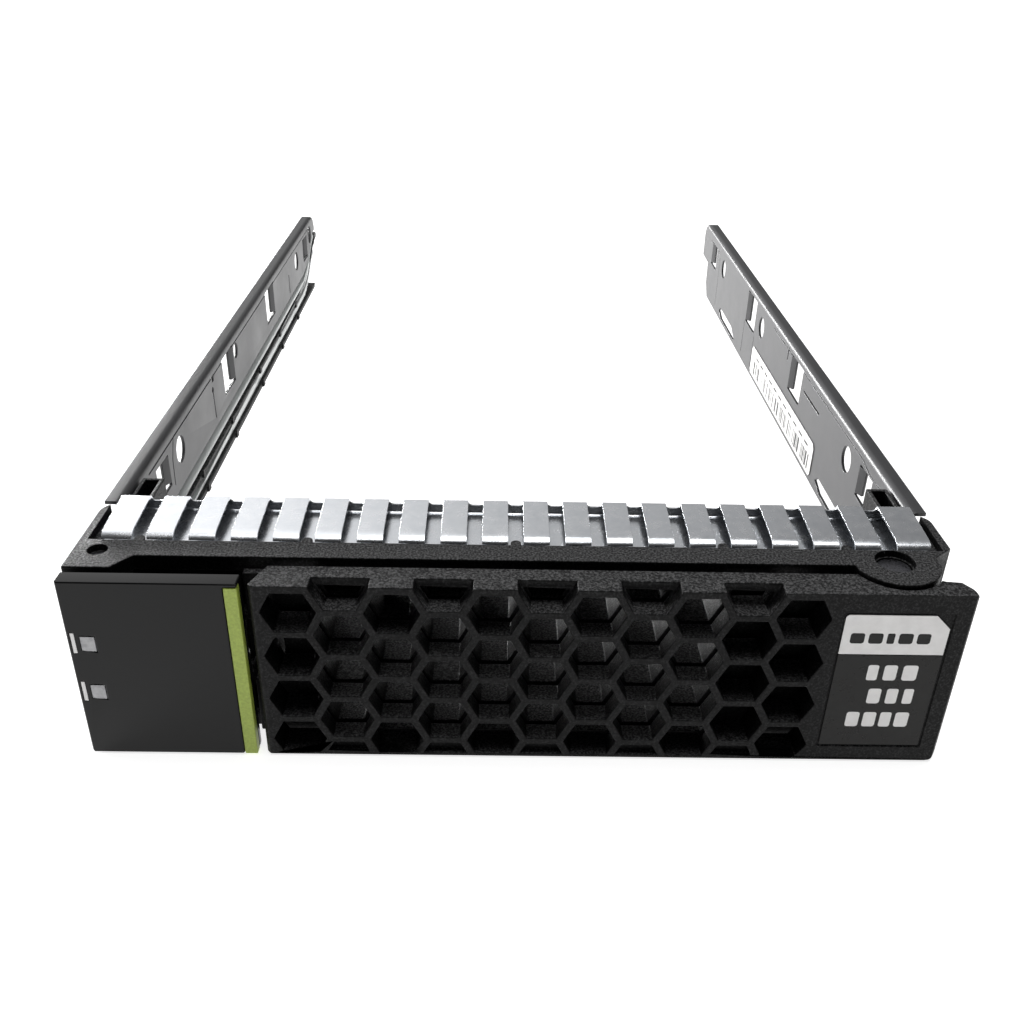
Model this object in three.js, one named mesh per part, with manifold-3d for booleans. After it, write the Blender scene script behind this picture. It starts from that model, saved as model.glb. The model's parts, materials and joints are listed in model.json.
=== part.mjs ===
// Hot-swap carrier for a 3.5-inch hard disk drive, empty, as it stands on a table.
// Millimetres.  X runs left to right across the bezel, Y from the front face to the rear, Z up.
// The pieces are drawn with Y = 0 at the front face; the assembly is then moved so that the
// origin lies under the middle of the carrier.
import * as THREE from 'three';
import { mergeVertices } from 'three/addons/utils/BufferGeometryUtils.js';
import Module from 'manifold-3d';

const wasm = await Module();
wasm.setup();
const { Manifold, Mesh: ManifoldMesh } = wasm;

// ---------------------------------------------------------------- driving dimensions
const HALF_WIDTH = 53.5;            // bezel is 107 mm wide
const HEIGHT = 26.0;                // bezel height, matches a 26.1 mm drive
const FRAME_REAR = 18.0;            // rear edge of the front frame
const FRAME_FRONT = 5.7;            // front edge of the frame behind the lever
const PLATE = 2.0;                  // top and bottom plate thickness
const CHEEK = { inner: 47.9, front: 15.0, rear: 25.9, bottom: 4.0, top: 25.7 };
const CHEEK_POCKET = { inner: 48.5, outer: 50.3, front: 19.4, rear: 25.3, floor: 12.0 };
const WALL = { left: -33.0, right: 39.2, front: 4.75, rear: 10.4 };
const INSIDE = { bottom: 1.0, top: 25.0 };  // inner walls end inside the two plates
const GAP = 0.3;                    // running clearance between separate pieces
const BOND = 0.05;                  // glue line or press fit
const OVER = 1.0;                   // how far a cutting tool runs past the material

const COLUMN_PITCH = 6.04;          // honeycomb columns
const ROW_PITCH = 6.40;             // honeycomb rows
const COLUMNS = 11;
const FIRST_COLUMN = -26.96;
const FIRST_ROW = 21.95;
const CELL = { halfWidth: 3.3, halfFlat: 1.86, halfHeight: 2.74 };
const REAR_CELL = { halfWidth: 3.0, halfFlat: 1.65, halfHeight: 2.6 };

// second honeycomb, part of the frame, that stands in a pocket in the back of the lever
const GRILLE = { left: -24.8, right: 25.2, front: 3.1, rear: 9.6, bottom: 1.5, top: 24.3 };
const GRILLE_OPENING = { bottom: 2.0, top: 23.8 };

const LEVER = { left: -31.4, rear: 4.4, bottom: 0.2, top: 25.6 };
const PIVOT = { x: 45.6, y: 6.8, knuckle: 5.4, sink: 2.4, bore: 2.18, pin: 2.1 };
const LUG = { bottom: 6.4, top: 14.8, radius: 4.9 };
const HOOK_PASSAGE = { left: -33.4, right: -28.9, rear: 11.6, bottom: 8.4, top: 17.6 };
const PIN_SINK = { top: 0.9, bottom: 0.7 };  // depth of the countersinks over the pins

// walls round the lever's knuckle
const KNUCKLE = {
  left: 38.0, right: 49.0, wall: 1.2, back: 12.4, backRear: 14.0,
  lower: 6.1, upper: 19.9, shoulder: 5.1, shoulderRear: 13.4,
};

// housing of the latch: a back wall, an end wall and two guides
const LATCH_BAY = {
  left: -47.8, end: -46.6, right: -33.0, guideRight: -33.4,
  front: 6.0, guideRear: 9.6, wallFront: 9.0, wallRear: 10.4, bottom: 8.4, top: 17.6, guide: 1.25,
};

// solid blocks at the sides that take the rails
const SIDE_BLOCK = { inner: 47.9, leftFront: 9.6, rightFront: 12.0 };
const SHOULDER = { inner: 51.7, front: 8.5, slope: 9.9, rear: 12.5 };
const TONGUE_SLOT = { front: 12.4, leftBottom: 18.0, top: 24.0 };
const SNAP = { front: 14.2, rear: 16.6, reach: 0.9, left: [19.7, 22.1], right: [13.2, 19.8] };
const CORNER_RADIUS = 1.8;

// room for the light pipes between the left rail and the windows of the button
const PIPE_PASSAGES = [
  { inner: -50.6, front: 12.0, rear: 19.0, bottom: 8.6, top: 15.5 },
  { inner: -50.4, front: 12.0, rear: 17.2, bottom: 8.6, top: 17.4 },
  { inner: -49.3, front: 9.0, rear: 14.0, bottom: 8.2, top: 18.8 },
];

const BUTTON = { left: -53.4, right: -32.5, rear: 2.3, bottom: 0.2, top: 25.8 };
const BUTTON_PIN = { x: -50.5, y: 6.9, sink: 1.2, bore: 1.06, pin: 1.0, boss: 2.0 };
const STRIPE = { width: 1.6, depth: 1.2, belowTop: 0.55 };

const RAIL_INNER = 51.15;           // the rails stand 102.3 mm apart, for a 101.6 mm drive
const RAIL_SHEET = 0.5;
const RAIL_END = 172.0;
const RAIL_TOP = 26.2;
const RAIL_BOTTOM = 9.4;
const SCREW_LINE = 21.3;            // screw hole height
const SCREW_HOLES = [43.7, 103.7, 145.3];   // 28.5, 70.1 and 130.1 mm from the drive's plug end
const SCREW_RADIUS = 2.1;
const PRESSED = { width: 0.22, depth: 0.18 };   // shallow lines in the sheet

const OVERALL_LENGTH = 175.6;       // front face to the tail peg

const RECESS = { front: 9.2, floor: 24.9, halfWidth: 52.5 };
const STRIP = {
  thickness: 0.25, left: -51.0, right: 51.0,
  base: 25.12, spine: 18.45, crest: 27.0, saddle: 26.4,
};
const FINGERS = {
  leftEnd: [-50.9, -47.3], first: -43.9, pitch: 5.12, halfWidth: 1.6, count: 18, rightEnd: [46.8, 50.9],
};
const NUBS = { at: [-46.4, -25.98, -0.38, 25.22, 40.58], radius: 0.66, bottom: 25.55, top: 25.9 };

// ---------------------------------------------------------------- solid helpers
function solid(geometry) {
  const bare = geometry.clone();
  bare.deleteAttribute('normal');
  bare.deleteAttribute('uv');
  const welded = mergeVertices(bare, 1e-4);
  return new Manifold(new ManifoldMesh({
    numProp: 3,
    vertProperties: new Float32Array(welded.attributes.position.array),
    triVerts: new Uint32Array(welded.index.array),
  }));
}

function geometryOf(body) {
  const mesh = body.getMesh();
  const geometry = new THREE.BufferGeometry();
  geometry.setAttribute('position', new THREE.BufferAttribute(new Float32Array(mesh.vertProperties), 3));
  geometry.setIndex(new THREE.BufferAttribute(new Uint32Array(mesh.triVerts), 1));
  const flat = geometry.toNonIndexed();
  flat.computeVertexNormals();
  return flat;
}

function box(x0, x1, y0, y1, z0, z1) {
  const geometry = new THREE.BoxGeometry(x1 - x0, y1 - y0, z1 - z0);
  geometry.translate((x0 + x1) / 2, (y0 + y1) / 2, (z0 + z1) / 2);
  return solid(geometry);
}

function shapeOf(points) {
  return new THREE.Shape(points.map(([a, b]) => new THREE.Vector2(a, b)));
}

// plan outline (X, Y) raised from z0 to z1
function prismZ(points, z0, z1) {
  const geometry = new THREE.ExtrudeGeometry(shapeOf(points), { depth: z1 - z0, bevelEnabled: false });
  geometry.translate(0, 0, z0);
  return solid(geometry);
}

// front outline (X, Z) run from y0 to y1
function prismY(points, y0, y1) {
  const geometry = new THREE.ExtrudeGeometry(shapeOf(points), { depth: y1 - y0, bevelEnabled: false });
  geometry.rotateX(Math.PI / 2);
  geometry.translate(0, y1, 0);
  return solid(geometry);
}

// side outline (Y, Z) run from x0 to x1
function prismX(points, x0, x1) {
  const geometry = new THREE.ExtrudeGeometry(shapeOf(points), { depth: x1 - x0, bevelEnabled: false });
  const turn = new THREE.Matrix4().makeBasis(
    new THREE.Vector3(0, 1, 0), new THREE.Vector3(0, 0, 1), new THREE.Vector3(1, 0, 0));
  geometry.applyMatrix4(turn);
  geometry.translate(x0, 0, 0);
  return solid(geometry);
}

function cylinderZ(x, y, radius, z0, z1, segments = 40) {
  const geometry = new THREE.CylinderGeometry(radius, radius, z1 - z0, segments);
  geometry.rotateX(Math.PI / 2);
  geometry.translate(x, y, (z0 + z1) / 2);
  return solid(geometry);
}

function cylinderX(y, z, radius, x0, x1, segments = 28) {
  const geometry = new THREE.CylinderGeometry(radius, radius, x1 - x0, segments);
  geometry.rotateZ(Math.PI / 2);
  geometry.translate((x0 + x1) / 2, y, z);
  return solid(geometry);
}

// points of an arc in a plane, angles in degrees
function arc(cx, cy, radius, from, to, steps) {
  const points = [];
  for (let i = 0; i <= steps; i += 1) {
    const angle = THREE.MathUtils.degToRad(from + (to - from) * i / steps);
    points.push([cx + radius * Math.cos(angle), cy + radius * Math.sin(angle)]);
  }
  return points;
}

// outline of a strip of even thickness along a centreline
function ribbon(line, thickness) {
  const left = [];
  const right = [];
  line.forEach(([x, y], i) => {
    const before = line[Math.max(0, i - 1)];
    const after = line[Math.min(line.length - 1, i + 1)];
    const length = Math.hypot(after[0] - before[0], after[1] - before[1]);
    const nx = -(after[1] - before[1]) / length;
    const ny = (after[0] - before[0]) / length;
    left.push([x + nx * thickness / 2, y + ny * thickness / 2]);
    right.push([x - nx * thickness / 2, y - ny * thickness / 2]);
  });
  return left.concat(right.reverse());
}

// round rod or wire along a path of 3-D points
function rod(points, radius, steps, sides) {
  const vectors = points.map(([x, y, z]) => new THREE.Vector3(x, y, z));
  const path = new THREE.CatmullRomCurve3(vectors, false, 'centripetal');
  const section = shapeOf(arc(0, 0, radius, 0, 360 - 360 / sides, sides - 1));
  const geometry = new THREE.ExtrudeGeometry(section, { steps, bevelEnabled: false, extrudePath: path });
  return solid(geometry);
}

const union = (list) => Manifold.union(list);

// ---------------------------------------------------------------- materials
const MATERIALS = {
  texturedBlack: { color: 0x1c1c1e, roughness: 0.62, metalness: 0.0 },
  glossBlack: { color: 0x141416, roughness: 0.12, metalness: 0.0 },
  green: { color: 0x93ad3f, roughness: 0.4, metalness: 0.0 },
  lens: { color: 0xc9ced0, roughness: 0.25, metalness: 0.0 },
  clear: { color: 0xe6ecee, roughness: 0.08, metalness: 0.0 },
  stainless: { color: 0xd0d3d6, roughness: 0.2, metalness: 1.0 },
  pinSteel: { color: 0x55585c, roughness: 0.35, metalness: 1.0 },
  coatedSteel: { color: 0x2b2c2f, roughness: 0.42, metalness: 0.4 },
  labelWhite: { color: 0xf2f2ef, roughness: 0.5, metalness: 0.0 },
  labelBlack: { color: 0x1a1a1b, roughness: 0.3, metalness: 0.0 },
};

const group = new THREE.Group();
group.name = 'hard_drive_carrier';
const assembly = new THREE.Group();
assembly.position.y = -OVERALL_LENGTH / 2;
group.add(assembly);

function add(name, body, material) {
  const mesh = new THREE.Mesh(geometryOf(body), new THREE.MeshStandardMaterial(MATERIALS[material]));
  mesh.name = name;
  assembly.add(mesh);
}

// ---------------------------------------------------------------- honeycomb
function cellPoints(x, z, { halfWidth, halfFlat, halfHeight }) {
  return [
    [x - halfWidth, z], [x - halfFlat, z - halfHeight], [x + halfFlat, z - halfHeight],
    [x + halfWidth, z], [x + halfFlat, z + halfHeight], [x - halfFlat, z + halfHeight],
  ];
}

// centres of the cells from one column to another; every second column is half a row lower
function cellCentres(first, last) {
  const centres = [];
  for (let column = first; column <= last; column += 1) {
    const odd = column % 2 === 1;
    for (let row = odd ? -0.5 : 0; row <= 3; row += 1) {
      centres.push([FIRST_COLUMN + COLUMN_PITCH * column, FIRST_ROW - ROW_PITCH * row]);
    }
  }
  return centres;
}

function honeycomb(cell, columns, y0, y1, bottom, top) {
  const cells = cellCentres(...columns).map(([x, z]) => prismY(cellPoints(x, z, cell), y0, y1));
  return union(cells).intersect(box(-HALF_WIDTH, HALF_WIDTH, y0, y1, bottom, top));
}

// ---------------------------------------------------------------- front frame
function frameOutline() {
  const start = 180 + THREE.MathUtils.radToDeg(Math.asin((PIVOT.y - FRAME_FRONT) / PIVOT.knuckle));
  return [
    [-HALF_WIDTH, 3.0],
    [-47.9, 3.0],
    [-45.9, FRAME_FRONT],
    [39.0, FRAME_FRONT],
    ...arc(PIVOT.x, PIVOT.y, PIVOT.knuckle, start, 370, 22),
    [HALF_WIDTH, SHOULDER.slope],
    [HALF_WIDTH, FRAME_REAR],
    [-HALF_WIDTH, FRAME_REAR],
  ];
}

// wall that stands between the two plates
function innerWall(x0, x1, y0, y1) {
  return box(x0, x1, y0, y1, INSIDE.bottom, INSIDE.top);
}

function knuckleBlock(z0, z1) {
  const { x, y, knuckle } = PIVOT;
  return union([
    cylinderZ(x, y, knuckle, z0, z1, 56),
    box(x - knuckle, x + KNUCKLE.shoulder, y, KNUCKLE.shoulderRear, z0, z1),
  ]);
}

// wall behind the lever, with the second honeycomb in its middle
function grilleWall() {
  const front = FRAME_FRONT + 1;
  return union([
    innerWall(WALL.left, GRILLE.left, FRAME_FRONT, WALL.rear),
    innerWall(GRILLE.right, WALL.right, FRAME_FRONT, WALL.rear),
    box(WALL.left, GRILLE.left, WALL.front, front, 0, GRILLE.top),
    box(GRILLE.right, WALL.right, WALL.front, front, 0, GRILLE.top),
    box(GRILLE.left, GRILLE.right, GRILLE.front, GRILLE.rear, GRILLE.bottom, GRILLE.top),
  ]);
}

function latchBay() {
  const { left, end, right, guideRight, front, guideRear, wallFront, wallRear } = LATCH_BAY;
  const { bottom, top, guide } = LATCH_BAY;
  return union([
    innerWall(left, right, wallFront, wallRear),
    box(left, guideRight, front, guideRear, top - guide, top),
    box(left, guideRight, front, guideRear, bottom, bottom + guide),
    box(left, end, front, guideRear, bottom, top),
  ]);
}

// side blocks, each with a cheek standing out to the rear
function sideBlocks() {
  const { inner, front, rear, bottom, top } = CHEEK;
  const outer = RAIL_INNER - GAP;
  return union([
    innerWall(-HALF_WIDTH, -SIDE_BLOCK.inner, SIDE_BLOCK.leftFront, FRAME_REAR),
    innerWall(SIDE_BLOCK.inner, HALF_WIDTH, SIDE_BLOCK.rightFront, FRAME_REAR),
    box(-outer, -inner, front, rear, bottom, top),
    box(inner, outer, front, rear, bottom, top),
    prismZ([
      [SHOULDER.inner, SHOULDER.front],
      [HALF_WIDTH, SHOULDER.slope],
      [HALF_WIDTH, SHOULDER.rear],
      [SHOULDER.inner, SHOULDER.rear],
    ], INSIDE.bottom, INSIDE.top),
  ]);
}

function knuckleHousing() {
  const { left, right, wall, back, backRear, lower, upper } = KNUCKLE;
  return union([
    innerWall(left, left + wall, FRAME_FRONT, backRear),
    innerWall(left, right, back, backRear),
    knuckleBlock(upper, HEIGHT - 1),
    knuckleBlock(INSIDE.bottom, lower),
  ]);
}

// everything that is open in the frame
function frameCuts() {
  const above = HEIGHT + OVER;
  const behind = FRAME_REAR + OVER;
  const { inner, outer, front, rear, floor } = CHEEK_POCKET;
  const slotIn = RAIL_INNER - GAP;
  const slotOut = RAIL_INNER + RAIL_SHEET + GAP;
  const cuts = [
    honeycomb(REAR_CELL, [1, COLUMNS - 3], GRILLE.front - OVER, GRILLE.rear + OVER,
      GRILLE_OPENING.bottom, GRILLE_OPENING.top),
    // passage for the lever's hook
    box(HOOK_PASSAGE.left, HOOK_PASSAGE.right, WALL.front - OVER, HOOK_PASSAGE.rear,
      HOOK_PASSAGE.bottom, HOOK_PASSAGE.top),
    // open pockets in the cheeks
    box(inner, outer, front, rear, floor, above),
    box(-outer, -inner, front, rear, floor, above),
    // shallow channel for the shielding spring strip
    box(-RECESS.halfWidth, RECESS.halfWidth, RECESS.front, behind, RECESS.floor, above),
    // slots that take the front tongues of the rails
    box(slotIn, slotOut, TONGUE_SLOT.front, behind, RAIL_BOTTOM - 0.2, TONGUE_SLOT.top),
    box(-slotOut, -slotIn, TONGUE_SLOT.front, behind, TONGUE_SLOT.leftBottom, TONGUE_SLOT.top),
  ];
  for (const passage of PIPE_PASSAGES) {
    cuts.push(box(-HALF_WIDTH - OVER, passage.inner, passage.front, passage.rear,
      passage.bottom, passage.top));
  }
  // holes over the pins, each with a shallow countersink
  for (const pin of [PIVOT, BUTTON_PIN]) {
    cuts.push(cylinderZ(pin.x, pin.y, pin.bore, -OVER, above, 40));
    cuts.push(cylinderZ(pin.x, pin.y, pin.sink, HEIGHT - PIN_SINK.top, above, 40));
    cuts.push(cylinderZ(pin.x, pin.y, pin.sink, -OVER, PIN_SINK.bottom, 40));
  }
  // rear corners fall away in a curve
  const x = HALF_WIDTH - CORNER_RADIUS;
  const y = FRAME_REAR - CORNER_RADIUS;
  const corner = prismZ([
    [HALF_WIDTH + OVER, behind],
    ...arc(x, y, CORNER_RADIUS, 90, 0, 6),
    [HALF_WIDTH + OVER, y],
  ], -OVER, above);
  cuts.push(corner, corner.mirror([1, 0, 0]));
  return union(cuts);
}

// nubs that hold the front lip of the spring strip
function stripNubs() {
  const { at, radius, bottom, top } = NUBS;
  const rear = RECESS.front + 0.7;
  return union(at.map((x) => union([
    cylinderZ(x, rear, radius, bottom, top, 20),
    box(x - radius, x + radius, RECESS.front - 0.6, rear, bottom, top),
  ])));
}

// snap lugs that lock the rails
function snapLugs() {
  const { front, rear, reach, left, right } = SNAP;
  return union([
    box(RAIL_INNER - OVER, RAIL_INNER + reach, front, rear, ...right),
    box(-RAIL_INNER - reach, -RAIL_INNER + OVER, front, rear, ...left),
  ]);
}

function buildFrame() {
  const blank = union([
    prismZ(frameOutline(), HEIGHT - PLATE, HEIGHT),
    prismZ(frameOutline(), 0, PLATE),
    grilleWall(),
    latchBay(),
    sideBlocks(),
    knuckleHousing(),
  ]);
  return union([blank.subtract(frameCuts()), stripNubs(), snapLugs()]);
}
add('front_frame', buildFrame(), 'texturedBlack');

// ---------------------------------------------------------------- shielding spring strip
function fingerSpans() {
  const { leftEnd, first, pitch, halfWidth, count, rightEnd } = FINGERS;
  const spans = [leftEnd];
  for (let i = 0; i < count; i += 1) {
    const centre = first + pitch * i;
    spans.push([centre - halfWidth, centre + halfWidth]);
  }
  spans.push(rightEnd);
  return spans;
}

function buildStrip() {
  const { base, spine, crest, saddle } = STRIP;
  const bend = 0.5;
  const fold = 0.25;
  // side view from the lip on the frame, round the spine and down the fingers to their tips
  const line = [
    [9.9, base],
    ...arc(spine - bend, base + bend, bend, -90, 0, 5),
    ...arc(spine - fold, crest - fold, fold, 0, 85, 3),
    [14.5, crest - 0.2],
    [11.2, crest - 0.43],
    [10.6, crest - 0.54],
    [10.1, crest - 0.72],
    [9.75, crest - 0.98],
    [9.6, crest - 1.2],
  ];
  const sheet = prismX(ribbon(line, STRIP.thickness), STRIP.left, STRIP.right);
  // the fingers part at the front and over the spine, which runs through behind them
  const round = 0.5;
  const cuts = [];
  const spans = fingerSpans();
  for (let i = 1; i < spans.length; i += 1) {
    const from = spans[i - 1][1];
    const to = spans[i][0];
    cuts.push(box(from, to, 8.5, spine - bend, base + 0.28, crest + 1));
    cuts.push(prismY([
      [from, crest + 1],
      ...arc(from + round, saddle + round, round, 180, 270, 4),
      ...arc(to - round, saddle + round, round, 270, 360, 4),
      [to, crest + 1],
    ], spine - bend - 0.1, spine + 1));
  }
  return sheet.subtract(union(cuts));
}
add('shield_spring_strip', buildStrip(), 'stainless');

// ---------------------------------------------------------------- ejector lever
function leverOutline() {
  return [
    [LEVER.left, 0.5],
    [LEVER.left + 0.5, 0],
    [53.1, 0],
    [HALF_WIDTH, 0.4],
    [HALF_WIDTH, 0.9],
    [52.3, 2.9],
    [50.5, 3.1],
    ...arc(PIVOT.x, PIVOT.y, PIVOT.knuckle + GAP, -38, -154.5, 18),
    [LEVER.left + 1.5, LEVER.rear],
  ];
}

// the lever's face seen from the front, its right corners rounded
function leverFace() {
  const small = 0.5;
  const large = 1.2;
  return [
    [LEVER.left, LEVER.bottom],
    ...arc(HALF_WIDTH - large, LEVER.bottom + large, large, -90, 0, 5),
    ...arc(HALF_WIDTH - small, LEVER.top - small, small, 0, 90, 4),
    [LEVER.left, LEVER.top],
  ];
}

const LEVER_CELLS = { bottom: 0.75, notchDepth: 2.1, footDepth: 0.9 };
const LABEL_BED = { left: 38.0, right: 51.2, bottom: 2.5, top: 23.0, depth: 0.2 };
const HOOK = {
  bottom: 9.9,
  top: 16.1,
  outline: [[-30.9, 3.9], [-29.4, 3.9], [-29.4, 10.6], [-30.9, 10.6], [-32.1, 9.9], [-32.1, 9.0],
    [-30.9, 9.0]],
};

// blind half cells along the top and bottom edges
function halfCells() {
  const { halfWidth, halfFlat, halfHeight } = CELL;
  const top = FIRST_ROW + ROW_PITCH / 2;
  const bottom = FIRST_ROW - ROW_PITCH * 3.5;
  const cuts = [];
  for (let column = 1; column < COLUMNS; column += 2) {
    const x = FIRST_COLUMN + COLUMN_PITCH * column;
    const notch = [
      [x - halfWidth - 0.3, 26.5], [x - halfWidth - 0.1, top], [x - halfFlat, top - halfHeight],
      [x + halfFlat, top - halfHeight], [x + halfWidth + 0.1, top], [x + halfWidth + 0.3, 26.5],
    ];
    cuts.push(prismY(notch, -OVER, LEVER_CELLS.notchDepth));
    const foot = [
      [x - halfWidth, bottom], [x + halfWidth, bottom],
      [x + halfFlat, bottom + halfHeight], [x - halfFlat, bottom + halfHeight],
    ];
    const sill = box(x - 5, x + 5, -2, 2, -9, LEVER_CELLS.bottom);
    cuts.push(prismY(foot, -OVER, LEVER_CELLS.footDepth).subtract(sill));
  }
  return union(cuts);
}

function buildLever() {
  let lever = prismZ(leverOutline(), LEVER.bottom, LEVER.top);
  lever = lever.intersect(prismY(leverFace(), -OVER, LEVER.rear + OVER));
  lever = lever.subtract(honeycomb(CELL, [0, COLUMNS - 1], -OVER, LEVER.rear + OVER,
    LEVER_CELLS.bottom, GRILLE.top + GAP));
  // pocket that the frame's own honeycomb stands in
  lever = lever.subtract(box(GRILLE.left - 0.4, GRILLE.right + 0.4, GRILLE.front - 0.35, LEVER.rear + OVER,
    GRILLE.bottom - GAP, GRILLE.top + GAP));
  lever = lever.subtract(halfCells());
  lever = lever.subtract(box(LABEL_BED.left, LABEL_BED.right, -OVER, LABEL_BED.depth,
    LABEL_BED.bottom, LABEL_BED.top));
  // lug that turns on the pivot pin
  const web = prismZ([
    [40.5, 4.0], [50.2, 3.1], [50.3, PIVOT.y], [PIVOT.x, PIVOT.y + 2], [40.9, PIVOT.y],
  ], LUG.bottom, LUG.top);
  const collar = cylinderZ(PIVOT.x, PIVOT.y, LUG.radius, LUG.bottom, LUG.top, 44);
  const bore = cylinderZ(PIVOT.x, PIVOT.y, PIVOT.bore, LUG.bottom - OVER, LUG.top + OVER, 40);
  const body = union([lever, web, collar]).subtract(bore);
  return union([body, prismZ(HOOK.outline, HOOK.bottom, HOOK.top)]);
}
add('ejector_lever', buildLever(), 'texturedBlack');

add('lever_pivot_pin', cylinderZ(PIVOT.x, PIVOT.y, PIVOT.pin, 0.8, 25.0, 40), 'pinSteel');

// torsion spring wound on the pivot pin above the lug, with a leg at each end
const LEVER_SPRING = { radius: 2.95, wire: 0.28, turns: 4, bottom: 15.6, rise: 3.5 };

function buildLeverSpring() {
  const { radius, wire, turns, bottom, rise } = LEVER_SPRING;
  const perTurn = 14;
  const count = turns * perTurn;
  const side = PIVOT.x + radius;
  const points = [[side, PIVOT.y + 4.6, bottom - 0.1], [side, PIVOT.y + 2.4, bottom - 0.05]];
  for (let i = 0; i <= count; i += 1) {
    const angle = -Math.PI * 2 * i / perTurn;
    points.push([
      PIVOT.x + radius * Math.cos(angle),
      PIVOT.y + radius * Math.sin(angle),
      bottom + rise * i / count,
    ]);
  }
  points.push([side, PIVOT.y - 2.4, bottom + rise + 0.2]);
  return rod(points, wire, 58, 6);
}
add('lever_spring', buildLeverSpring(), 'stainless');

// ---------------------------------------------------------------- labels on the lever
const LABEL = {
  left: 38.3, right: 50.9, bottom: 2.8, seam: 16.95, top: 22.7, corner: 1.9, round: 0.5,
  front: 0.02, rear: 0.15,
};
add('white_label', prismY([
  [LABEL.left, LABEL.seam + BOND],
  [LABEL.right, LABEL.seam + BOND],
  [LABEL.right, LABEL.top - LABEL.corner],
  [LABEL.right - LABEL.corner, LABEL.top],
  ...arc(LABEL.left + LABEL.round, LABEL.top - LABEL.round, LABEL.round, 90, 180, 4),
], LABEL.front, LABEL.rear), 'labelWhite');
add('black_label', box(LABEL.left, LABEL.right, LABEL.front, LABEL.rear, LABEL.bottom, LABEL.seam - BOND),
  'labelBlack');

// ---------------------------------------------------------------- release button
const LENS = { left: -51.7, right: -50.0, front: 0.03, rear: 3.5, rows: [[16.0, 18.1], [8.8, 10.9]] };
const MARK = { left: -52.75, right: -52.3, front: 0.02, rear: 0.1, above: 0.5, below: 0.3 };
const EAR = { left: -52.5, right: -48.6 };
const CAM_RIB = {
  bottom: 10.3,
  top: 15.7,
  outline: [[-38.6, 1.8], [-36.4, 1.8], [-36.4, 5.4], [-37.4, 5.4], [-38.6, 4.2]],
};

function buttonPin(radius, z0, z1) {
  return cylinderZ(BUTTON_PIN.x, BUTTON_PIN.y, radius, z0, z1, 40);
}

function buildButton() {
  const { left, right, rear, bottom, top } = BUTTON;
  const earBottom = PLATE + GAP;
  const earTop = HEIGHT - PLATE - GAP;
  const button = union([
    prismZ([[left, 0.4], [left + 0.4, 0], [right, 0], [right, rear], [left, rear]], bottom, top),
    cylinderZ(BUTTON_PIN.x, BUTTON_PIN.y, BUTTON_PIN.boss, earBottom, earTop, 32),
    box(EAR.left, EAR.right, rear - 0.5, BUTTON_PIN.y, earBottom, earTop),
    prismZ(CAM_RIB.outline, CAM_RIB.bottom, CAM_RIB.top),
  ]);
  const seats = [
    box(right - STRIPE.width - BOND, right + OVER, -OVER, STRIPE.depth + BOND,
      -OVER, top - STRIPE.belowTop + BOND),
    buttonPin(BUTTON_PIN.bore, 19.0, 25.0),
    buttonPin(BUTTON_PIN.bore, 1.0, 7.0),
  ];
  for (const [z0, z1] of LENS.rows) {
    seats.push(box(LENS.left - BOND, LENS.right + BOND, -OVER, LENS.rear + 0.1, z0 - BOND, z1 + BOND));
    seats.push(box(MARK.left - BOND, MARK.right + BOND, -OVER, MARK.rear + 0.02,
      z0 - MARK.below - BOND, z1 + MARK.above + BOND));
  }
  return button.subtract(union(seats));
}
add('release_button', buildButton(), 'glossBlack');
add('button_stripe', box(BUTTON.right - STRIPE.width, BUTTON.right, 0, STRIPE.depth, BUTTON.bottom,
  BUTTON.top - STRIPE.belowTop), 'green');
['upper', 'lower'].forEach((place, i) => {
  const [z0, z1] = LENS.rows[i];
  add(`status_lens_${place}`, box(LENS.left, LENS.right, LENS.front, LENS.rear, z0, z1), 'lens');
  add(`status_mark_${place}`,
    box(MARK.left, MARK.right, MARK.front, MARK.rear, z0 - MARK.below, z1 + MARK.above), 'labelWhite');
});
add('button_pin_upper', buttonPin(BUTTON_PIN.pin, 19.3, 25.1), 'pinSteel');
add('button_pin_lower', buttonPin(BUTTON_PIN.pin, 0.8, 6.7), 'pinSteel');

// ---------------------------------------------------------------- latch slide and its spring
const LATCH = { left: -41.6, nose: -32.35, front: 5.9, step: 7.2, rear: 8.7, bottom: 10.0, top: 16.0 };
const LATCH_SPRING = { left: -46.25, length: 4.3, y: 7.3, z: 13.0, radius: 1.15, wire: 0.17, turns: 4.5 };

add('latch_slide', union([
  prismZ([
    [LATCH.left, LATCH.front], [-37.34, LATCH.front], [-36.04, LATCH.step], [LATCH.nose, LATCH.step],
    [LATCH.nose, LATCH.rear], [LATCH.left, LATCH.rear],
  ], LATCH.bottom, LATCH.top),
  cylinderX(LATCH_SPRING.y, LATCH_SPRING.z, 0.7, LATCH.left - 1.8, LATCH.left + 0.4, 20),
]), 'texturedBlack');

function buildLatchSpring() {
  const { left, length, y, z, radius, wire, turns } = LATCH_SPRING;
  const perTurn = 14;
  const count = turns * perTurn;
  const points = [];
  for (let i = 0; i <= count; i += 1) {
    const angle = Math.PI * 2 * i / perTurn;
    points.push([left + length * i / count, y + radius * Math.cos(angle), z + radius * Math.sin(angle)]);
  }
  return rod(points, wire, 56, 6);
}
add('latch_spring', buildLatchSpring(), 'stainless');

// ---------------------------------------------------------------- rails
const WINDOWS = [
  { y0: 32.0, y1: 37.6, z0: 18.4, z1: 23.5 },
  { y0: 71.6, y1: 79.6, z0: 18.0, z1: 24.8 },
  { y0: 109.4, y1: 117.6, z0: 18.0, z1: 24.8 },
  { y0: 154.4, y1: 160.4, z0: 18.4, z1: 23.8 },
];

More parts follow.
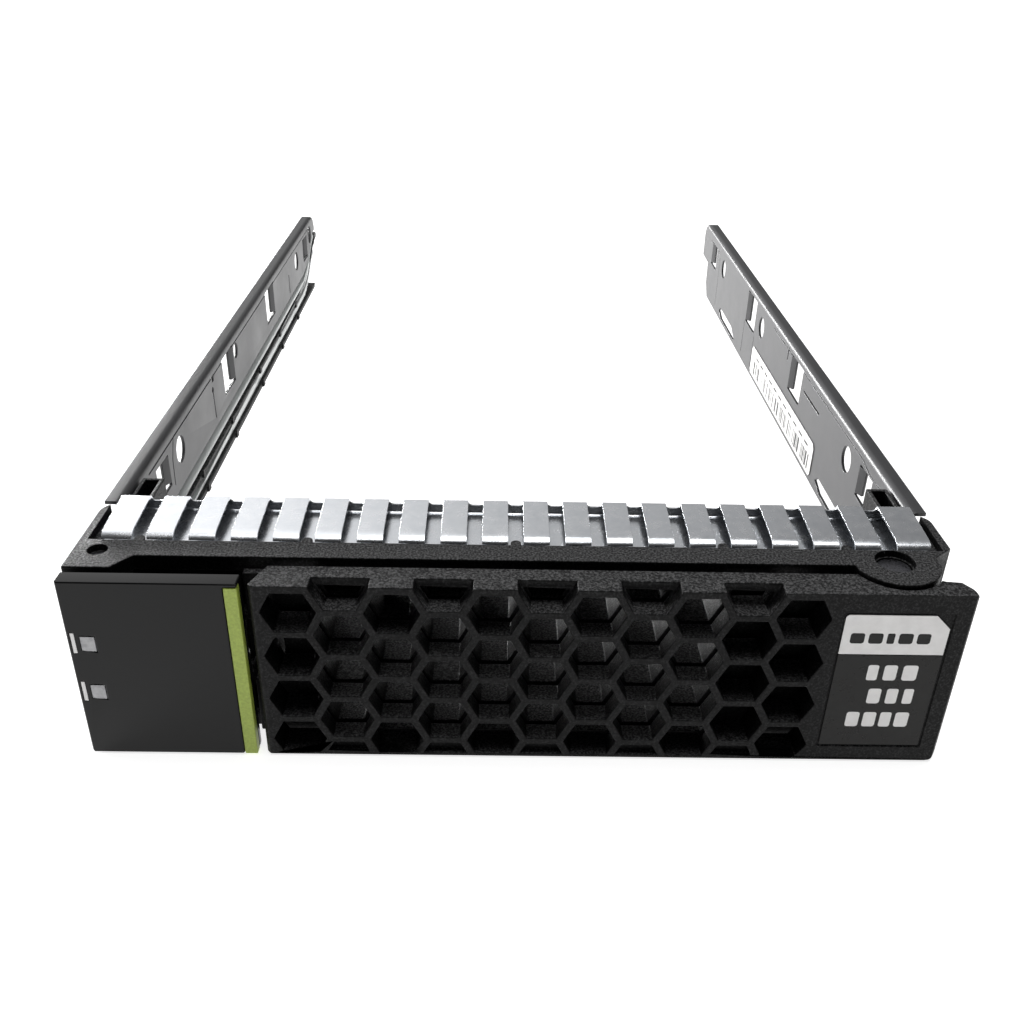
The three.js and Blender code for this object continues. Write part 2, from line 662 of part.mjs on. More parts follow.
// section of the folded sheet, seen from the front
function railSection(bottom) {
  const x = RAIL_INNER;
  const bend = 0.5;
  const outer = bend + RAIL_SHEET;
  return [
    [x, bottom],
    [x + RAIL_SHEET, bottom],
    ...arc(x + outer, RAIL_TOP - outer, bend, 180, 90, 4),
    [HALF_WIDTH, RAIL_TOP - RAIL_SHEET],
    [HALF_WIDTH, RAIL_TOP],
    ...arc(x + outer, RAIL_TOP - outer, outer, 90, 180, 6),
  ];
}

// side view that trims the ends of the folded sheet
function railProfile(left) {
  const rear = RAIL_END - 5;
  const start = FRAME_REAR + GAP;
  const topRear = [[rear, 27], [rear, RAIL_TOP], ...arc(RAIL_END - 4.2, 22.0, 4.2, 80, 0, 7)];
  const front = [[start, 27]];
  const tongueTop = [[start, 23.7], [12.7, 23.7]];
  if (left) {
    return [
      [12.7, 18.3], [start, 18.3], [start, 15.75], [153, 15.75], [159, 16.9], [165, 19.9],
      [169.5, 22.0], [RAIL_END, 22.0], ...topRear.reverse(), ...front, ...tongueTop,
    ];
  }
  return [[12.7, RAIL_BOTTOM + 0.8], [20, RAIL_BOTTOM], [161.5, RAIL_BOTTOM], [164.2, 12.4], [164.6, 17.4],
    [RAIL_END - 0.3, 17.6], ...topRear.reverse(), ...front, ...tongueTop];
}

// tab bent out of a window, seen from above; its root is at the window's rear end
const TAB = [[0.02, 0.4], [0.02, -0.1], [0.6, -1.4], [1.05, -1.2], [0.48, 0.4]];
const TAB_MARGIN = 0.4;

const LEFT_HOLES = [
  [SCREW_HOLES[0], SCREW_LINE, SCREW_RADIUS],
  [81.6, 22.9, 1.45],
  [SCREW_HOLES[2], SCREW_LINE, SCREW_RADIUS],
  [164.6, 22.6, SCREW_RADIUS],
  [64.25, 22.3, 0.55],
];
const RIGHT_HOLES = SCREW_HOLES.map((y) => [y, SCREW_LINE, SCREW_RADIUS]);

// narrow slits: y from, y to, z from, z to
const LEFT_SLITS = [[64.0, 64.5, 17.2, 21.8], [64.4, 65.5, 23.6, 24.6], [134.6, 135.1, 16.9, 21.0]];
const RIGHT_SLITS = [[59.8, 69.6, 21.5, 21.9], [82.2, 82.6, 22.6, 25.0]];

// long drain slots beside the right rail's lower edge
const DRAINS = [[36.5, 56.0], [126.0, 145.0]];

// pressed lines: one below the bend, and on the right rail the edges of its stamped panel
const LEFT_PRESSED = [[[29, 24.5], [RAIL_END - 8, 24.5]], [[41, 24.5], [39.4, 21.5], [39, 17.5]]];
const RIGHT_PRESSED = [
  [[29.2, 23.9], [34.2, 24.0], [36.8, 24.6], [94, 24.6]],
  [[108.7, 10.6], [108.7, 17.6]],
  [[118.2, 10.6], [118.2, 17.8]],
  [[150.2, 10.6], [150.2, 22.6], [151.4, 23.6], [163, 23.6]],
];

// both rails are drawn as the right one; the left one is mirrored at the end
function buildRail(left) {
  const x0 = RAIL_INNER - OVER;
  const x1 = RAIL_INNER + 1.4;
  const bottom = left ? 15.5 : RAIL_BOTTOM - 0.5;
  const sheet = prismY(railSection(bottom), 12, RAIL_END + OVER)
    .intersect(prismX(railProfile(left), x0, HALF_WIDTH + OVER));
  const cuts = [];
  const tabs = [];
  for (const { y0, y1, z0, z1 } of WINDOWS) {
    cuts.push(box(x0, x1, y0, y1, z0, z1));
    const outline = TAB.map(([x, y]) => [RAIL_INNER + x, y1 + y]);
    tabs.push(prismZ(outline, z0 + TAB_MARGIN, z1 - TAB_MARGIN));
  }
  for (const [y, z, radius] of left ? LEFT_HOLES : RIGHT_HOLES) {
    cuts.push(cylinderX(y, z, radius, x0, x1));
  }
  for (const [y0, y1, z0, z1] of left ? LEFT_SLITS : RIGHT_SLITS) {
    cuts.push(box(x0, x1, y0, y1, z0, z1));
  }
  for (const [y0, y1] of left ? [] : DRAINS) {
    cuts.push(prismX([
      [y0, 10.7], [y0 + 1.5, 10.2], [y1 - 3, 10.2], [y1, 11.2], [y1 - 1.6, 12.3], [y0 + 4, 12.3],
    ], x0, x1));
  }
  // window over the snap lug of the frame
  const [snapLow, snapHigh] = left ? SNAP.left : SNAP.right;
  cuts.push(box(x0, HALF_WIDTH + OVER, SNAP.front - GAP, SNAP.rear + GAP, snapLow - GAP, snapHigh + GAP));
  for (const line of left ? LEFT_PRESSED : RIGHT_PRESSED) {
    cuts.push(prismX(ribbon(line, PRESSED.width), x0, RAIL_INNER + PRESSED.depth));
  }
  const rail = union([sheet.subtract(union(cuts)), ...tabs]);
  return left ? rail.mirror([1, 0, 0]) : rail;
}
add('left_rail', buildRail(true), 'coatedSteel');
add('right_rail', buildRail(false), 'coatedSteel');

// barcode label on the inner face of the right rail
add('barcode_label', prismX([[58.8, 10.9], [59.4, 10.3], [107.0, 10.3], [107.6, 10.9], [107.6, 15.4],
  [106.9, 16.1], [59.6, 16.3], [58.8, 15.5]], RAIL_INNER - 0.15, RAIL_INNER - BOND), 'labelWhite');

// ---------------------------------------------------------------- light pipes along the left rail
const PIPE = { x: -52.1, radius: 0.95, upper: 13.75, lower: 10.35 };

// rise of the pipes towards the tail of the rail
const PIPE_RISE = [
  [148.5, 0], [152, 0.08], [156, 0.55], [160.5, 2.15], [165.5, 5.15], [168.3, 6.65], [171.4, 7.15],
];

// channel that holds the pipes: its ends, its shelves and the faces that its parts reach out to
const HOLDER = { front: 18.9, rear: 171.3, floor: [8.2, 9.1], shelf: [11.72, 12.38], lid: [14.86, 15.32] };
const HOLDER_X = { back: -53.2, lid: -52.4, shelf: -51.2, clip: -50.9 };
const CLIP_PLACES = [53, 74, 98.5, 120, 140];

function pipePath(z, front) {
  return [
    [-51.1, 9.95, front],
    [-51.2, 11.6, z + (front - z) * 0.92],
    [-51.9, 15.6, z + (front - z) * 0.2],
    [PIPE.x, 19.0, z],
    [PIPE.x, 50.0, z],
    [PIPE.x, 100.0, z],
    ...PIPE_RISE.map(([y, rise]) => [PIPE.x, y, z + rise]),
  ];
}
add('light_pipe_upper', rod(pipePath(PIPE.upper, 17.0), PIPE.radius, 60, 10), 'clear');
add('light_pipe_lower', rod(pipePath(PIPE.lower, 9.9), PIPE.radius, 60, 10), 'clear');

// side view of a shelf that follows the rise of the pipes
function followPipes([lower, upper]) {
  const rises = PIPE_RISE.slice(0, -1);
  const last = 7.1;
  return [
    [HOLDER.front, lower],
    ...rises.map(([y, rise]) => [y, lower + rise]),
    [HOLDER.rear, lower + last],
    [HOLDER.rear, upper + last],
    ...rises.reverse().map(([y, rise]) => [y, upper + rise]),
    [HOLDER.front, upper],
  ];
}

// clips that keep the two pipes in their channels
function pipeClips(y) {
  const [floorLow, floorHigh] = HOLDER.floor;
  const [shelfLow, shelfHigh] = HOLDER.shelf;
  const { shelf, clip } = HOLDER_X;
  return union([
    box(shelf + 0.1, clip, y - 0.7, y + 0.7, shelfLow, shelfHigh + 0.72),
    box(shelf - 0.2, clip, y - 0.7, y + 0.7, shelfLow, shelfHigh),
    box(shelf + 0.1, clip, y + 1.0, y + 2.4, floorLow, floorHigh + 0.6),
    box(shelf - 0.2, clip, y + 1.0, y + 2.4, floorLow, floorHigh),
  ]);
}

function buildPipeHolder() {
  const { front, floor, shelf, lid } = HOLDER;
  const [bottom, floorTop] = floor;
  const back = [
    [front, bottom], [167.0, bottom], [171.6, 12.6], [171.6, 22.0], [169.6, 21.6], [165.2, 19.4],
    [159.2, 16.5], [153, 15.4], [front, 15.4],
  ];
  const foot = [[128.5, 8.6], [130.5, 7.1], [137, 7.1], [139.5, 8.6]];
  const pegRoot = [[170.4, 18.6], [175.0, 19.3], [175.6, 20.0], [175.0, 20.7], [170.4, 21.4]];
  const peg = [[172.0, 18.9], [175.0, 19.3], [175.6, 20.0], [175.0, 20.7], [172.0, 21.1]];
  return union([
    prismX(back, -HALF_WIDTH, HOLDER_X.back),
    prismX([[front, bottom], [167.0, bottom], [168.0, floorTop], [front, floorTop]],
      -HALF_WIDTH, HOLDER_X.shelf),
    prismX(followPipes(shelf), -HALF_WIDTH, HOLDER_X.shelf),
    prismX(followPipes(lid), -HALF_WIDTH, HOLDER_X.lid),
    // foot under the channel, and the peg at the tail that steadies the carrier in the bay
    prismX(foot, -HALF_WIDTH, -52.2),
    prismX(pegRoot, -HALF_WIDTH, HOLDER_X.back),
    prismX(peg, -HALF_WIDTH, -51.4),
    ...CLIP_PLACES.map(pipeClips),
  ]);
}
add('light_pipe_holder', buildPipeHolder(), 'texturedBlack');

export default group;
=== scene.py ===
"""Empty hot-swap carrier for a 3.5-inch hard disk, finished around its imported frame."""

import json
import math
import random

import bmesh
import bpy
import numpy as np
from mathutils import Matrix, Vector


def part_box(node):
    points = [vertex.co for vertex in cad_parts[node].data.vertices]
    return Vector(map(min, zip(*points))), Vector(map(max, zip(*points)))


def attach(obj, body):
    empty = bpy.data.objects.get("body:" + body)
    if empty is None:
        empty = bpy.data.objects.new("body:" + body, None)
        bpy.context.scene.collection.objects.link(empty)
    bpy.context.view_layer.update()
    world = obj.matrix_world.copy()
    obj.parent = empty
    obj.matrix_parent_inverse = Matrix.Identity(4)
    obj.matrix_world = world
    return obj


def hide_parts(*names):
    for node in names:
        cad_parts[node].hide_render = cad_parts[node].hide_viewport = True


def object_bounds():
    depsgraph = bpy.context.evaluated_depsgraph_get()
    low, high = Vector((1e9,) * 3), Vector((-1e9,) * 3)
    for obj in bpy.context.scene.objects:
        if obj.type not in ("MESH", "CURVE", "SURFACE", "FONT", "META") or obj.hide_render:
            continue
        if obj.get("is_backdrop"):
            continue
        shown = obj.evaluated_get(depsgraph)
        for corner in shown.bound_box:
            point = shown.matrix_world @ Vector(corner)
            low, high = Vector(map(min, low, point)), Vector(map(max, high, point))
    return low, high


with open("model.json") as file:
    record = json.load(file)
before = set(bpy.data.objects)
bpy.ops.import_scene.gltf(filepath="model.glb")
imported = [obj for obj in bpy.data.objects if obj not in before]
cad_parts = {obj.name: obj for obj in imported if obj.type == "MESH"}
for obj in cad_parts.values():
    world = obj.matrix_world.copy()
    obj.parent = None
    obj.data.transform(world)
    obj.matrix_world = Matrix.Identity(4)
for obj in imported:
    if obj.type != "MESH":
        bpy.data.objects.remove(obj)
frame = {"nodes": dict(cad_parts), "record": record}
cad_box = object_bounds()
MM = 0.001
random.seed(7)


# ---------------------------------------------------------------- camera
# The carrier seen from the front, about 30 degrees above it, with its front edge near.
CAMERA_AZIMUTH = math.radians(1.147)
CAMERA_ELEVATION = math.radians(-29.603)
CAMERA_ROLL = math.radians(1.413)
CAMERA_PLACE = Vector((-3.13, -186.16, 91.78)) * MM
CAMERA_LENS = 36.2


def make_camera():
    camera = bpy.data.objects.new("camera", bpy.data.cameras.new("camera"))
    bpy.context.scene.collection.objects.link(camera)
    camera.data.lens = CAMERA_LENS
    camera.data.sensor_width = 36.0
    camera.data.clip_start = 0.01
    camera.data.clip_end = 100.0
    flat = math.cos(CAMERA_ELEVATION)
    forward = Vector((
        math.sin(CAMERA_AZIMUTH) * flat,
        math.cos(CAMERA_AZIMUTH) * flat,
        math.sin(CAMERA_ELEVATION),
    ))
    level = forward.to_track_quat("-Z", "Y").to_matrix()
    roll = Matrix.Rotation(CAMERA_ROLL, 3, "Z")
    camera.matrix_world = Matrix.Translation(CAMERA_PLACE) @ (level @ roll).to_4x4()
    bpy.context.scene.camera = camera


make_camera()


# ---------------------------------------------------------------- node helpers
class Nodes:
    """A small wrapper that adds shader nodes and links them."""

    def __init__(self, name):
        self.material = bpy.data.materials.new(name)
        self.material.use_nodes = True
        self.tree = self.material.node_tree
        self.tree.nodes.clear()
        self.output = self.add("ShaderNodeOutputMaterial")
        self.bsdf = self.add("ShaderNodeBsdfPrincipled")
        self.link(self.bsdf, "BSDF", self.output, "Surface")
        self.place = self.add("ShaderNodeTexCoord")

    def add(self, kind, **settings):
        node = self.tree.nodes.new(kind)
        for key, value in settings.items():
            setattr(node, key, value)
        return node

    def link(self, source, out, target, into):
        self.tree.links.new(source.outputs[out], target.inputs[into])

    def set(self, node, **values):
        for key, value in values.items():
            node.inputs[key.replace("_", " ")].default_value = value

    def principled(self, color, roughness, metallic=0.0, specular=0.5):
        self.bsdf.inputs["Base Color"].default_value = (*color, 1.0)
        self.bsdf.inputs["Roughness"].default_value = roughness
        self.bsdf.inputs["Metallic"].default_value = metallic
        self.bsdf.inputs["Specular IOR Level"].default_value = specular

    def noise(self, size, detail=2.0, stretch=(1.0, 1.0, 1.0), roughness=0.5):
        """Noise whose grains are size metres across, longer along an axis with a small stretch."""
        mapping = self.add("ShaderNodeMapping")
        mapping.inputs["Scale"].default_value = [s / size for s in stretch]
        self.link(self.place, "Object", mapping, "Vector")
        texture = self.add("ShaderNodeTexNoise")
        texture.inputs["Scale"].default_value = 1.0
        texture.inputs["Detail"].default_value = detail
        texture.inputs["Roughness"].default_value = roughness
        self.link(mapping, "Vector", texture, "Vector")
        return texture

    def ramp(self, source, out, low, high, dark, light):
        """A colour that goes from dark to light as the source goes from low to high."""
        ramp = self.add("ShaderNodeValToRGB")
        ramp.color_ramp.elements[0].position = low
        ramp.color_ramp.elements[1].position = high
        ramp.color_ramp.elements[0].color = (*dark, 1.0)
        ramp.color_ramp.elements[1].color = (*light, 1.0)
        self.link(source, out, ramp, "Fac")
        return ramp

    def rough(self, source, out, low, high, smooth, coarse):
        """Roughness from smooth to coarse as the source goes from low to high."""
        spread = self.add("ShaderNodeMapRange")
        self.set(spread, From_Min=low, From_Max=high, To_Min=smooth, To_Max=coarse)
        self.link(source, out, spread, "Value")
        self.link(spread, "Result", self.bsdf, "Roughness")

    def by_direction(self, axis, low, high, usual, facing):
        """Colour that changes from usual to facing where the surface looks along an axis."""
        geometry = self.add("ShaderNodeNewGeometry")
        axes = self.add("ShaderNodeSeparateXYZ")
        self.link(geometry, "Normal", axes, 0)
        spread = self.add("ShaderNodeMapRange")
        self.set(spread, From_Min=low, From_Max=high)
        self.link(axes, axis, spread, "Value")
        mix = self.add("ShaderNodeMix", data_type="RGBA")
        self.link(spread, "Result", mix, "Factor")
        self.link(usual, "Color", mix, 6)
        self.link(facing, "Color", mix, 7)
        return mix

    def bump(self, source, out, height, strength):
        bump = self.add("ShaderNodeBump")
        bump.inputs["Distance"].default_value = height
        bump.inputs["Strength"].default_value = strength
        self.link(source, out, bump, "Height")
        self.link(bump, "Normal", self.bsdf, "Normal")


# ---------------------------------------------------------------- materials
def textured_black():
    """Spark-eroded black plastic: a fine grain whose bright specks are painted glints, with painted
    light that makes faces looking up lighter.
    """
    n = Nodes("textured_black")
    n.principled((0.008, 0.008, 0.0085), 0.5, specular=0.14)
    grain = n.noise(0.26 * MM, 3.0, roughness=0.6)
    # Painted glints: the bright specks of the grain are colour that stands in for light sparkling off
    # it.
    painted_glint_specks = n.ramp(grain, "Fac", 0.50, 0.74, (0.0015, 0.0015, 0.0016), (0.024, 0.024, 0.025))
    # Painted light: faces that look up get a lighter base and brighter specks, as if lit from above.
    painted_top_light_specks = n.ramp(grain, "Fac", 0.42, 0.72, (0.010, 0.010, 0.0105), (0.150, 0.150, 0.152))
    # Blends towards the painted top light by how far the face looks up, by world normal.
    mix = n.by_direction("Z", 0.55, 0.95, painted_glint_specks, painted_top_light_specks)
    n.link(mix, 2, n.bsdf, "Base Color")
    n.rough(grain, "Fac", 0.35, 0.65, 0.60, 0.36)
    n.bump(grain, "Fac", 0.06 * MM, 0.8)
    return n.material


def gloss_black():
    """Piano-black plastic with faint dust and hairline scratches."""
    n = Nodes("gloss_black")
    n.principled((0.004, 0.004, 0.0042), 0.09, specular=0.21)
    cloud = n.noise(7 * MM, 4.0)
    n.rough(cloud, "Fac", 0.3, 0.7, 0.07, 0.14)
    hair = n.noise(0.5 * MM, 2.0, stretch=(0.06, 1.0, 1.0))
    n.bump(hair, "Fac", 0.002 * MM, 0.15)
    return n.material


def green():
    n = Nodes("green")
    n.principled((0.36, 0.46, 0.085), 0.42)
    grain = n.noise(0.3 * MM, 2.0)
    tint = n.ramp(grain, "Fac", 0.3, 0.7, (0.28, 0.36, 0.052), (0.37, 0.47, 0.070))
    n.link(tint, "Color", n.bsdf, "Base Color")
    n.bump(grain, "Fac", 0.01 * MM, 0.3)
    return n.material


def lens():
    n = Nodes("lens")
    n.principled((0.5, 0.5, 0.5), 0.3)
    cloud = n.noise(0.9 * MM, 3.0)
    tint = n.ramp(cloud, "Fac", 0.3, 0.7, (0.30, 0.30, 0.31), (0.46, 0.46, 0.47))
    n.link(tint, "Color", n.bsdf, "Base Color")
    n.rough(cloud, "Fac", 0.3, 0.7, 0.2, 0.4)
    return n.material


def clear():
    """Milky light pipe, bright along its top, with a faint flow along its length."""
    n = Nodes("clear")
    n.principled((0.62, 0.65, 0.64), 0.12)
    flow = n.noise(3 * MM, 2.0, stretch=(1.0, 0.1, 1.0))
    tint = n.ramp(flow, "Fac", 0.3, 0.7, (0.52, 0.55, 0.54), (0.70, 0.73, 0.72))
    n.link(tint, "Color", n.bsdf, "Base Color")
    n.bsdf.inputs["Transmission Weight"].default_value = 0.18
    n.bsdf.inputs["IOR"].default_value = 1.49
    n.rough(flow, "Fac", 0.3, 0.7, 0.08, 0.2)
    return n.material


def spring_steel():
    """Bright cold-rolled stainless, with fine rolling lines and a few dull patches."""
    n = Nodes("spring_steel")
    n.principled((0.74, 0.75, 0.77), 0.2, metallic=1.0)
    lines = n.noise(0.10 * MM, 2.0, stretch=(1.0, 0.05, 0.05))
    dull = n.noise(1.6 * MM, 5.0, roughness=0.7)
    tint = n.ramp(dull, "Fac", 0.3, 0.75, (0.70, 0.725, 0.76), (0.80, 0.815, 0.84))
    n.link(tint, "Color", n.bsdf, "Base Color")
    n.rough(dull, "Fac", 0.3, 0.7, 0.20, 0.30)
    n.bump(lines, "Fac", 0.002 * MM, 0.4)
    return n.material


def pin_steel():
    n = Nodes("pin_steel")
    n.principled((0.16, 0.165, 0.175), 0.3, metallic=1.0)
    turned = n.noise(0.25 * MM, 3.0)
    tint = n.ramp(turned, "Fac", 0.3, 0.7, (0.10, 0.10, 0.11), (0.22, 0.22, 0.24))
    n.link(tint, "Color", n.bsdf, "Base Color")
    n.rough(turned, "Fac", 0.3, 0.7, 0.25, 0.45)
    n.bump(turned, "Fac", 0.01 * MM, 0.3)
    return n.material


def rail_steel():
    """Dark coated sheet, with a painted highlight along its edges."""
    n = Nodes("rail_steel")
    n.principled((0.05, 0.05, 0.055), 0.35, specular=0.42)
    cloud = n.noise(9 * MM, 5.0, roughness=0.6)
    grain = n.noise(0.18 * MM, 2.0)
    tint = n.ramp(cloud, "Fac", 0.3, 0.7, (0.036, 0.036, 0.038), (0.058, 0.058, 0.061))
    # Painted highlight: the colour turns light grey where the bevel normal parts from the surface
    # normal, along the edges.
    bevel = n.add("ShaderNodeBevel", samples=4)
    bevel.inputs["Radius"].default_value = 0.22 * MM
    geometry = n.add("ShaderNodeNewGeometry")
    dot = n.add("ShaderNodeVectorMath", operation="DOT_PRODUCT")
    n.link(bevel, "Normal", dot, 0)
    n.link(geometry, "Normal", dot, 1)
    edge = n.add("ShaderNodeMapRange")
    n.set(edge, From_Min=0.97, From_Max=0.80, To_Min=0.0, To_Max=0.8)
    n.link(dot, "Value", edge, "Value")
    mix = n.add("ShaderNodeMix", data_type="RGBA")
    n.link(edge, "Result", mix, "Factor")
    n.link(tint, "Color", mix, 6)
    mix.inputs[7].default_value = (0.34, 0.34, 0.35, 1.0)
    n.link(mix, 2, n.bsdf, "Base Color")
    n.rough(cloud, "Fac", 0.3, 0.7, 0.30, 0.42)
    n.bump(grain, "Fac", 0.006 * MM, 0.35)
    return n.material


def film(name, color, lighter, roughness, specular):
    """Printed label film with a little fibre and shine."""
    n = Nodes(name)
    n.principled(color, roughness, specular=specular)
    cloud = n.noise(1.3 * MM, 4.0)
    tint = n.ramp(cloud, "Fac", 0.3, 0.7, color, lighter)
    n.link(tint, "Color", n.bsdf, "Base Color")
    n.rough(cloud, "Fac", 0.3, 0.7, roughness * 0.85, roughness * 1.15)
    n.bump(cloud, "Fac", 0.004 * MM, 0.3)
    return n.material


MATERIALS = {
    "textured_black": textured_black(),
    "gloss_black": gloss_black(),
    "green": green(),
    "lens": lens(),
    "clear": clear(),
    "spring_steel": spring_steel(),
    "pin_steel": pin_steel(),
    "rail_steel": rail_steel(),
    "label_white": film("label_white", (0.76, 0.75, 0.74), (0.84, 0.83, 0.82), 0.45, 0.4),
    "label_black": film("label_black", (0.008, 0.0075, 0.007), (0.012, 0.0115, 0.011), 0.3, 0.2),
}


# ---------------------------------------------------------------- piece helpers
SLOT_OF = {entry["node"]: entry["material_slot"] for entry in frame["record"]["subparts"]}
BODY_OF = {
    node: body
    for body, nodes in frame["record"]["behaviour"]["bodies"].items()
    for node in nodes
}


def piece(name, mesh, body, slot):
    """A new object of the carrier that moves with a body and takes its finish from a slot."""
    mesh.materials.clear()
    mesh.materials.append(MATERIALS[slot])
    made = bpy.data.objects.new(name, mesh)
    bpy.context.scene.collection.objects.link(made)
    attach(made, body)
    return made


SHARP = math.radians(28.0)      # edges that bend less are part of a curve
FLAT = math.radians(0.8)        # faces that bend less lie in one plane
SHARE = 0.42                    # of the free width beside an edge that its rounding may take
CRISP = 0.12                    # edges with less than this part of their rounding stay sharp
FAR = 1.0                       # metres: no limit at all on a piece of this size
SAMPLES = 5                     # places along an edge where its distance to others is taken
SLIDE = {"release_button": 1.2 * MM}    # how far a rounding may slide along an edge inside a face


def clean_shape(node):
    """The node's surface, shaded smooth, with its flat faces made whole."""
    shape = bmesh.new()
    shape.from_mesh(frame["nodes"][node].data)
    bmesh.ops.remove_doubles(shape, verts=shape.verts, dist=0.002 * MM)
    bmesh.ops.dissolve_limit(shape, angle_limit=FLAT, verts=shape.verts, edges=shape.edges)
    for face in shape.faces:
        face.smooth = True
    return shape


def flat_regions(shape):
    """Groups of faces that lie in one plane side by side."""
    left = set(shape.faces)
    regions = []
    while left:
        region = [left.pop()]
        for face in region:
            for edge in face.edges:
                if len(edge.link_faces) == 2 and edge.calc_face_angle(0.0) < FLAT:
                    for other in edge.link_faces:
                        if other in left:
                            left.remove(other)
                            region.append(other)
        regions.append(region)
    return regions


def corner_room(edge, other, shared):
    """The rounding that two edges have room for where they meet."""
    along = edge.other_vert(shared).co - shared.co
    beside = other.other_vert(shared).co - shared.co
    if min(along.length, beside.length) < 1e-9:
        return 0.0
    return min(along.length, beside.length) * math.tan(along.angle(beside) / 2)


def slide_room(edge, inner, slide):
    """The rounding an edge has room for where edges inside the flat face meet its ends."""
    room = FAR
    for vert in edge.verts:
        along = edge.other_vert(vert).co - vert.co
        for flat in vert.link_edges:
            if flat in inner:
                room = min(room, slide * math.sin(along.angle(flat.other_vert(vert).co - vert.co)))
    return room


def edge_room(edges, inner, slide):
    """The rounding that each sharp edge of one flat region has room for, before its share."""
    starts = np.array([e.verts[0].co[:] for e in edges])
    runs = np.array([e.verts[1].co[:] for e in edges]) - starts
    lengths = np.maximum((runs ** 2).sum(axis=1), 1e-18)
    room = []
    for i, edge in enumerate(edges):
        nearest = slide_room(edge, inner, slide)
        apart = np.array([not set(edge.verts) & set(other.verts) for other in edges])
        if apart.any():
            samples = starts[i] + np.linspace(0, 1, SAMPLES)[:, None] * runs[i]
            offset = samples[:, None, :] - starts[None, apart]
            share = np.clip((offset * runs[apart]).sum(axis=2) / lengths[apart], 0, 1)
            gap = offset - share[..., None] * runs[apart]
            nearest = min(nearest, float(np.sqrt((gap ** 2).sum(axis=2)).min()))
        for j in np.flatnonzero(~apart):
            shared = set(edge.verts) & set(edges[j].verts)
            if j != i and len(shared) == 1:
                nearest = min(nearest, corner_room(edge, edges[j], shared.pop()))
        room.append(nearest)
    return room


def weigh_edges(shape, radius, slide):
    """Gives each sharp edge the part of the radius that fits, and keeps tight edges crisp."""
    weight = shape.edges.layers.float.new("bevel_weight_edge")
    sharp = {e for e in shape.edges if len(e.link_faces) == 2 and e.calc_face_angle(0.0) > SHARP}
    room = dict.fromkeys(sharp, FAR)
    for region in flat_regions(shape):
        around = {edge for face in region for edge in face.edges}
        edges = [edge for edge in around if edge in sharp]
        for edge, found in zip(edges, edge_room(edges, around - sharp, slide) if edges else []):
            room[edge] = min(room[edge], found)
    for edge, found in room.items():
        share = min(1.0, SHARE * found / radius)
        edge[weight] = share if share > CRISP else 0.0
        edge.smooth = share > CRISP


def finished(node, shape):
    """The piece that stands in for a node, from its reworked shape."""
    mesh = bpy.data.meshes.new(node + "_shape")
    shape.to_mesh(mesh)
    shape.free()
    return piece(node + "_finish", mesh, BODY_OF[node], SLOT_OF[node])


def refine(node, radius, segments=2):
    """The CAD node rebuilt with its edges rounded, as moulded or pressed pieces are."""
    shape = clean_shape(node)
    weigh_edges(shape, radius, SLIDE.get(node, FAR))
    made = finished(node, shape)
    bevel = made.modifiers.new("edges", "BEVEL")
    bevel.width = radius
    bevel.segments = segments
    bevel.limit_method = "WEIGHT"
    bevel.use_clamp_overlap = False
    normals = made.modifiers.new("normals", "WEIGHTED_NORMAL")
    normals.weight = 50
    normals.keep_sharp = True
    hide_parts(node)


ROUNDING = {
    "front_frame": 0.16,
    "ejector_lever": 0.16,
    "release_button": 0.2,
    "button_stripe": 0.12,
    "status_lens_upper": 0.05,
    "status_lens_lower": 0.05,
    "status_mark_upper": 0.02,
    "status_mark_lower": 0.02,
    "lever_pivot_pin": 0.25,
    "button_pin_upper": 0.15,
    "button_pin_lower": 0.15,
    "latch_slide": 0.15,
    "left_rail": 0.12,
    "right_rail": 0.12,
    "light_pipe_holder": 0.1,
    "white_label": 0.02,
    "black_label": 0.02,
    "barcode_label": 0.02,
    "shield_spring_strip": 0.03,
}
for node, radius in ROUNDING.items():
    refine(node, radius * MM)


def round_rod(node, levels):
    """A wire or rod with a smooth round section."""
    made = finished(node, clean_shape(node))
    smooth = made.modifiers.new("round", "SUBSURF")
    smooth.levels = levels
    smooth.render_levels = levels
    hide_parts(node)


for node in ("lever_spring", "latch_spring", "light_pipe_upper", "light_pipe_lower"):
    round_rod(node, 1)


# ---------------------------------------------------------------- print on the labels
def plate(name, outline, lift, across, body, slot):
    """A thin printed patch: its outline runs over the label, lifted along the across axis."""
    shape = bmesh.new()
    base = [shape.verts.new(across(u, v, 0.0)) for u, v in outline]
    face = shape.faces.new(base)
    raised = bmesh.ops.extrude_face_region(shape, geom=[face])["geom"]
    step = across(0.0, 0.0, lift) - across(0.0, 0.0, 0.0)
    bmesh.ops.translate(shape, verts=[g for g in raised if isinstance(g, bmesh.types.BMVert)], vec=step)
    bmesh.ops.recalc_face_normals(shape, faces=shape.faces)
    mesh = bpy.data.meshes.new(name)
    shape.to_mesh(mesh)
    shape.free()
    return piece(name, mesh, body, slot)


def block(u0, u1, v0, v1):
    """Outline of a printed bar with small round corners."""
    r = min(u1 - u0, v1 - v0) * 0.2
    corners = ((u1 - r, v1 - r, 0), (u0 + r, v1 - r, 90), (u0 + r, v0 + r, 180), (u1 - r, v0 + r, 270))
    points = []
    for u, v, start in corners:
        for step in range(4):
            turn = math.radians(start + 30 * step)
            points.append((u + r * math.cos(turn), v + r * math.sin(turn)))
    return points


def on_front(node):
    """Places print on a label that faces the front."""
    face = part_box(node)[0].y
    return lambda u, v, lift: Vector((u * MM, face - lift * MM, v * MM))


def on_right_rail(node):
    """Places print on a label that faces left, on the right rail."""
    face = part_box(node)[0].x
    front = cad_box[0].y
    return lambda u, v, lift: Vector((face - lift * MM, front + u * MM, v * MM))


